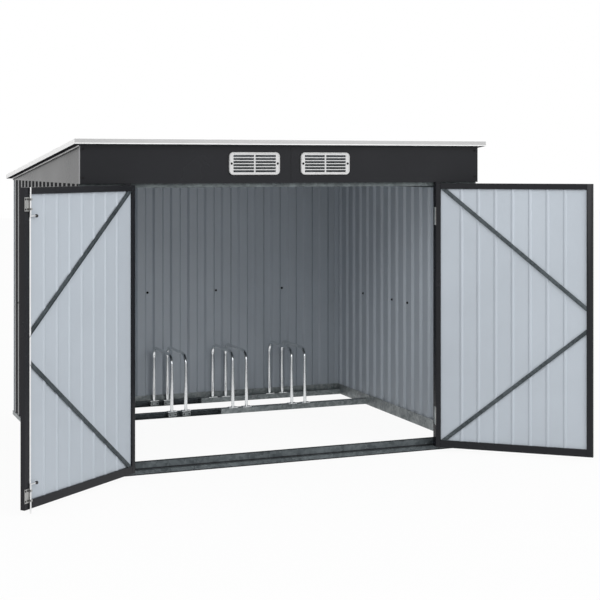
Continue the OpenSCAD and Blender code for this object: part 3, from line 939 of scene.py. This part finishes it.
    def fascia_screws(self, tree: FixingTree) -> None:
        """Puts painted screws at the fascia's ends, and dark discs at the ends of the vents as painted shade
        for their recessed screw holes.
        """
        low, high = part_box("front_fascia")
        painted = Fixings("fascia_screws", "shed", SCREW_DARK, "charcoal_paint", seed=2)
        for side in Side:
            for z in self.fascia_screw_z:
                place = Vector((side.value * (high[0] - self.fascia_screw_in), low[1], z))
                painted.add(place, Vector(FRONTWARD))
        painted.build(tree, self.finishes)
        low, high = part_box("fascia_vents")
        # Painted shade: dark discs for the shade in the vents' screw holes.
        dark = Fixings("vent_screws_and_hole_shade", "shed", SCREW_DARK, "bright_steel",
                       head_mm=5.5, dome_mm=1.4, washer_mm=5.6, washer_t_mm=0.5, seed=3)
        for middle in (-self.vent_x, self.vent_x):
            for side in Side:
                place = Vector((middle + side.value * self.vent_screw, low[1], (low[2] + high[2]) / 2))
                dark.add(place, Vector(FRONTWARD))
        dark.build(tree, self.finishes)

    def vent_beads(self) -> None:
        """Raises a bead along the edge of each vent's rim."""
        low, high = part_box("fascia_vents")
        inset = self.vent_bead + self.vent_bead_in
        height = high[2] - low[2]
        points = [(side.value * self.vent_x, low[1], (low[2] + high[2]) / 2) for side in Side]
        beads = new_piece("vent_beads", points, [])
        BeadTree().bake(beads, {"Width": 2 * (high[0] - self.vent_x - inset), "Height": height - 2 * inset,
                                "Corner Radius": self.vent_corner - inset, "Bead Radius": self.vent_bead,
                                "Finish": self.finishes.material(VENT_WHITE)})
        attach(beads, "shed")

    def floor_channels(self) -> None:
        """Rolls the two floor channels, open to the front on the left and to the back on the right, with the
        left part's zinc darkened as painted shade.
        """
        low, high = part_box("floor_cross_beams")
        wall, deep, joint = self.channel_t, self.channel_w, self.channel_joint
        top, under = high[2], high[2] - wall
        form = bmesh.new()
        for front in (low[1], high[1] - deep):
            rear = front + deep
            for index, (x0, x1) in enumerate(((low[0], joint), (joint, high[0]))):
                web = rear - wall if index == 0 else front
                for y0, y1, z0, z1 in ((front, rear, 0.0, wall), (front, rear, under, top),
                                       (web, web + wall, wall, under)):
                    add_block(form, (x0, y0, z0), (x1, y1, z1), index)
            add_block(form, (joint - wall, front + wall, wall), (joint, rear - wall, under), 1)
        channels = piece_from("floor_channels", form)
        # Painted shade: the left part, open to the front, takes the dark zinc for the shadow inside the
        # channel; the right part takes the paler zinc as painted light.
        for finish in (ZINC_DARK_AND_SHADED, ZINC_PAINTED_LIGHTER):
            channels.data.materials.append(self.finishes.material(finish))
        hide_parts("floor_cross_beams")
        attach(channels, "shed")

    def foot_blocks(self, tree: FixingTree) -> None:
        """Sets a block with two screws into the open channels below each leg of the left hoops."""
        low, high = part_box("floor_cross_beams")
        half, rise = self.block_w / 2, self.block_rise
        form = bmesh.new()
        screws = Fixings("foot_block_screws", "shed", SCREW_DARK, "bright_steel",
                         head_mm=3.4, dome_mm=1.6, washer_mm=4.2, washer_t_mm=0.4, seed=5)
        legs = [x for place in self.left_hoops for box in (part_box(f"wheel_hoops_{place}"),)
                for x in (box[0][0] + self.foot_half, box[1][0] - self.foot_half)]
        for front in (low[1], high[1] - self.channel_w):
            face, back = front + self.block_in, front + self.channel_w - self.channel_t
            for leg in legs:
                add_block(form, (leg - half, face, rise), (leg + half, back, high[2] - rise))
                for side in Side:
                    place = Vector((leg + side.value * self.block_screw, face, high[2] / 2))
                    screws.add(place, Vector(FRONTWARD))
        blocks = piece_from("foot_blocks", form)
        # Painted light: the blocks take the palest zinc copy.
        self.finishes.dress(blocks, ZINC_PAINTED_LIGHTEST)
        soften(blocks, self.block_round_mm)
        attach(blocks, "shed")
        screws.build(tree, self.finishes)

    def gable_strip(self, name: str, side: Side, drop: float, tall: float, finish: Finish) -> None:
        """Lays a strip along a gable's upper edge.

        Args:
            name: The strip's name.
            side: The gable's side of the shed.
            drop: How far below the edge it starts, in metres.
            tall: Its height.
            finish: Its finish.
        """
        gable = "left_gable" if side is Side.LEFT else "right_gable"
        low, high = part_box(gable)
        outer = (low if side is Side.LEFT else high)[0]
        xs = sorted((outer, outer + side.value * self.lip_t))
        front, back = top_edge(self.nodes[gable])
        corners = [Vector((x, end.y, end.z - down)) for down in (drop + tall, drop)
                   for x, end in ((xs[0], front), (xs[1], front), (xs[1], back), (xs[0], back))]
        strip = new_box(name, corners)
        self.finishes.dress(strip, finish)
        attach(strip, "shed")

    def gable_lips(self) -> None:
        """Lays a pale lip along each gable's upper edge, just below the roof trim, and a black strip below it
        as painted shadow.
        """
        for side in Side:
            word = side.name.lower()
            self.gable_strip(f"{word}_gable_lip", side, self.lip_drop, self.lip_h, TRIM_WHITE)
            # Painted shadow: a black strip under the lip.
            below = self.lip_drop + self.lip_h
            self.gable_strip(f"{word}_gable_shadow_strip", side, below, self.shadow_strip_h, SCREW_DARK)

    def fascia_edge_highlight(self) -> None:
        """Lays a grey strip round the fascia's left end, a painted highlight for the light on its folded
        edge.
        """
        low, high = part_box("front_fascia")
        corners = [Vector((low[0] + x, low[1] + y, z)) for z in (low[2], high[2] - self.edge_short)
                   for x, y in ((-self.edge_proud, -self.edge_proud), (self.edge_w, -self.edge_proud),
                                (self.edge_w, self.edge_w), (-self.edge_proud, self.edge_w))]
        edge = new_box("fascia_left_edge_highlight", corners)
        self.finishes.dress(edge, EDGE_HIGHLIGHT_GREY)
        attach(edge, "shed")

    def fascia_seam(self) -> None:
        """Draws the joint between the fascia's two sheets as a thin dark strip."""
        low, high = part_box("front_fascia")
        (x0, x1), y0, y1 = self.seam_x, low[1] - self.seam_t, low[1]
        corners = [Vector((x, y, z)) for z in (low[2], high[2] - self.seam_short)
                   for x, y in ((x0, y0), (x1, y0), (x1, y1), (x0, y1))]
        seam = new_box("fascia_seam", corners)
        self.finishes.dress(seam, SCREW_DARK)
        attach(seam, "shed")

    def build(self, tree: FixingTree) -> None:
        """Adds the fixings, beads, channels, blocks, gable lips with their painted shadow strips, the painted
        edge highlight and the seam of the standing shed.
        """
        self.wall_bolts(tree)
        self.fascia_screws(tree)
        self.vent_beads()
        self.floor_channels()
        self.foot_blocks(tree)
        self.gable_lips()
        self.fascia_edge_highlight()
        self.fascia_seam()


@dataclass
class Door:
    """One hinged door, with its frame, skin, braces and hinge leaves."""

    side: Side
    nodes: dict[str, bpy.types.Object]
    finishes: Finishes
    axis: Vector
    open_deg: float = 140.0
    inner_mm: float = 19.0
    free_mm: float = 768.0
    stile_mm: float = 31.0
    highlight_w_mm: float = 9.0
    highlight_back_mm: float = 2.0
    highlight_face_mm: float = 0.3
    round_mm: float = 1.0
    bars: tuple[str, ...] = ("hinge_stile", "free_stile", "top_rail", "bottom_rail")

    @property
    def name(self) -> str:
        """The door's body name."""
        return "left_door" if self.side is Side.LEFT else "right_door"

    def outward(self) -> Point:
        """Returns the direction that the door's outer face points in at rest."""
        turn = math.radians(self.open_deg)
        return (self.side.value * math.sin(turn), -math.cos(turn), 0.0)

    def at(self, along: float, inward: float, z: float) -> Vector:
        """Returns a point of the door at rest.

        Args:
            along: Distance from the hinge axis along the door, in millimetres.
            inward: Distance from the hinge axis towards the door's inner face, in millimetres.
            z: Height above the ground, in millimetres.

        Returns:
            The point in metres.
        """
        turn = math.radians(self.open_deg)
        mirror = -self.side.value
        x = mirror * (along * math.cos(turn) + inward * math.sin(turn))
        y = inward * math.cos(turn) - along * math.sin(turn)
        return Vector((self.axis.x + x * MM, self.axis.y + y * MM, z * MM))

    def skin_edge_highlight(self) -> None:
        """Lays a white strip along the inner edge of the free upright bar, a painted highlight for the light
        on the skin's bent edge.
        """
        low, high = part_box(self.name + "_skin")
        edge = self.free_mm - self.stile_mm
        start = edge - self.highlight_w_mm
        back, face = self.inner_mm - self.highlight_back_mm, self.inner_mm - self.highlight_face_mm
        corners = [self.at(u, v, z) for z in (low[2] / MM, high[2] / MM)
                   for u, v in ((start, back), (edge, back), (edge, face), (start, face))]
        highlight_strip = new_box(self.name + "_skin_edge_highlight", corners)
        self.finishes.dress(highlight_strip, SKIN_HIGHLIGHT_WHITE)
        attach(highlight_strip, self.name)

    def dress(self) -> None:
        """Puts its finish on every node of the door, and rounds the frame's edges."""
        for bar in self.bars:
            self.finishes.dress(self.nodes[f"{self.name}_{bar}"], CHARCOAL)
            soften(self.nodes[f"{self.name}_{bar}"], self.round_mm)
        skin = TwoFaced(self.name + "_skin_paint", CHARCOAL, BACK_COAT, self.outward())
        self.finishes.dress(self.nodes[self.name + "_skin"], skin)
        self.finishes.dress(self.nodes[self.name + "_braces"], ZINC_DARK_AND_SHADED)
        self.finishes.dress(self.nodes[self.name + "_hinge_leaves"], DULL_STEEL)


@dataclass
class Bolts:
    """The two barrel bolts on the left door."""

    nodes: dict[str, bpy.types.Object]
    finishes: Finishes
    door: Door
    knob_mm: float = 7.2
    arm_mm: float = 38.0
    arm_end_mm: float = 6.0
    rod_in_mm: float = 29.0
    rod_stand_mm: float = 6.5
    knob_segments: int = 24
    knob_rings: int = 16
    plate_mm: float = 57.0
    plate_t_mm: float = 2.0
    screw_along_mm: tuple[float, ...] = (-18.1, -4.4)
    screw_up_mm: tuple[float, ...] = (-20.5, 20.5)

    def dress(self) -> None:
        """Puts dull steel on the plates and bright steel on the rods."""
        self.finishes.dress(self.nodes["bolt_plates"], DULL_STEEL)
        for name in ("top_bolt_rod", "bottom_bolt_rod"):
            self.finishes.dress(self.nodes[name], BRIGHT_STEEL)

    def knob(self, body: str, z: float) -> None:
        """Puts a black knob over the end of a bolt's arm.

        Args:
            body: The bolt's body.
            z: The height of the arm, in millimetres.
        """
        along = self.door.free_mm - self.rod_in_mm - self.arm_mm
        middle = self.door.at(along, self.door.inner_mm + self.rod_stand_mm, z)
        ball = bmesh.new()
        bmesh.ops.create_uvsphere(ball, u_segments=self.knob_segments, v_segments=self.knob_rings,
                                  radius=self.knob_mm * MM)
        bmesh.ops.translate(ball, verts=ball.verts, vec=middle)
        for face in ball.faces:
            face.smooth = True
        knob = piece_from(body + "_knob", ball)
        self.finishes.dress(knob, KNOB_BLACK)
        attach(knob, body)

    def plate_screws(self, tree: FixingTree) -> None:
        """Puts four dark screws on each bolt plate."""
        screws = Fixings("bolt_plate_screws", "left_door", SCREW_DARK, "bright_steel",
                         head_mm=4.0, dome_mm=1.4, washer_mm=4.1, washer_t_mm=0.4, seed=4)
        inward = self.door.at(0.0, 1.0, 0.0) - self.door.at(0.0, 0.0, 0.0)
        low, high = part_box("bolt_plates")
        face = self.door.inner_mm + self.plate_t_mm
        for middle in (high[2] / MM - self.plate_mm / 2, low[2] / MM + self.plate_mm / 2):
            for along in self.screw_along_mm:
                for up in self.screw_up_mm:
                    place = self.door.at(self.door.free_mm + along, face, middle + up)
                    screws.add(place, inward.normalized())
        screws.build(tree, self.finishes)

    def build(self, tree: FixingTree) -> None:
        """Adds the knobs and the screws of the bolts."""
        low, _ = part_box("top_bolt_rod")
        _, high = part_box("bottom_bolt_rod")
        self.knob("top_bolt", low[2] / MM + self.arm_end_mm)
        self.knob("bottom_bolt", high[2] / MM - self.arm_end_mm)
        self.plate_screws(tree)


def main() -> None:
    """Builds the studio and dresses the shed."""
    logging.basicConfig(level=logging.INFO, format="%(name)s: %(message)s")
    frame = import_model()
    finishes = Finishes()
    nodes = frame["nodes"]
    Studio().build()
    tree = FixingTree()
    shell = Shell(nodes, finishes)
    shell.dress()
    shell.build(tree)
    axes = {joint["child"]: Vector(joint["pos_m"]) for joint in frame["joints"]
            if joint["type"] == "hinge"}
    doors = {side: Door(side, nodes, finishes, axes[name]) for side, name in
             ((Side.LEFT, "left_door"), (Side.RIGHT, "right_door"))}
    for door in doors.values():
        door.dress()
    # Painted highlight: a white strip on the left door's free upright bar.
    doors[Side.LEFT].skin_edge_highlight()
    bolts = Bolts(nodes, finishes, doors[Side.LEFT])
    bolts.dress()
    bolts.build(tree)
    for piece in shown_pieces():
        LOG.info("%s has %d faces", piece.name, len(piece.data.polygons))


if __name__ == "__main__":
    main()
